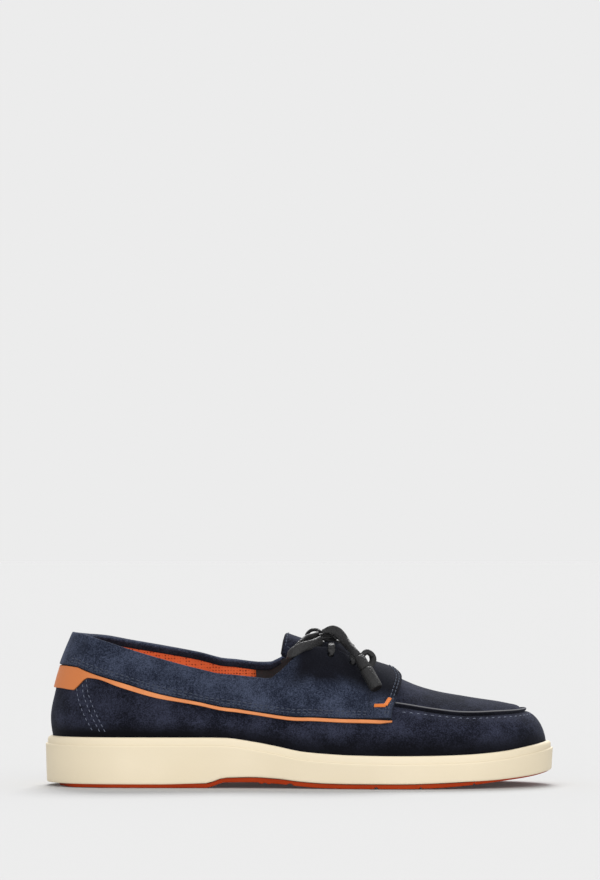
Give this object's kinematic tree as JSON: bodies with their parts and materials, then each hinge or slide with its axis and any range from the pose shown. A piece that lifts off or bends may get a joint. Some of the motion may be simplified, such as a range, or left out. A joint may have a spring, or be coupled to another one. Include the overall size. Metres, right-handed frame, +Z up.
{
  "type": "boat shoe",
  "caption": "Laced suede boat shoe for the right foot: contrast saddle, raised apron seam, cream cupsole with a red-brown tread.",
  "frame": {"origin": "middle of the sole's plan, on the ground", "axes": "+X to the toe, +Y to the inner (medial) side of the foot, +Z up"},
  "size_m": [0.3, 0.1057, 0.0926],
  "materials": {
    "outsole_rubber": "matte",
    "midsole_rubber": "matte",
    "upper_suede": "matte",
    "saddle_suede": "matte",
    "strip_leather": "matte",
    "lining_leather": "matte",
    "seam_suede": "matte",
    "tongue_suede": "matte",
    "lace_leather": "satin"
  },
  "bodies": {
    "root": {"outsole": "outsole_rubber", "midsole": "midsole_rubber", "insole": "lining_leather", "upper": "upper_suede", "saddle": "saddle_suede", "heel_strip": "strip_leather", "apron_seam": "seam_suede", "tongue": "tongue_suede", "lace_bar_upper": "lace_leather", "lace_bar_lower": "lace_leather", "lace_knot": "lace_leather", "lace_loop_near": "lace_leather", "lace_loop_far": "lace_leather", "lace_end_near": "lace_leather", "lace_end_far": "lace_leather", "lace_tip_near": "lace_leather", "lace_tip_far": "lace_leather", "lace_curl_near": "lace_leather"}
  },
  "joints": []
}
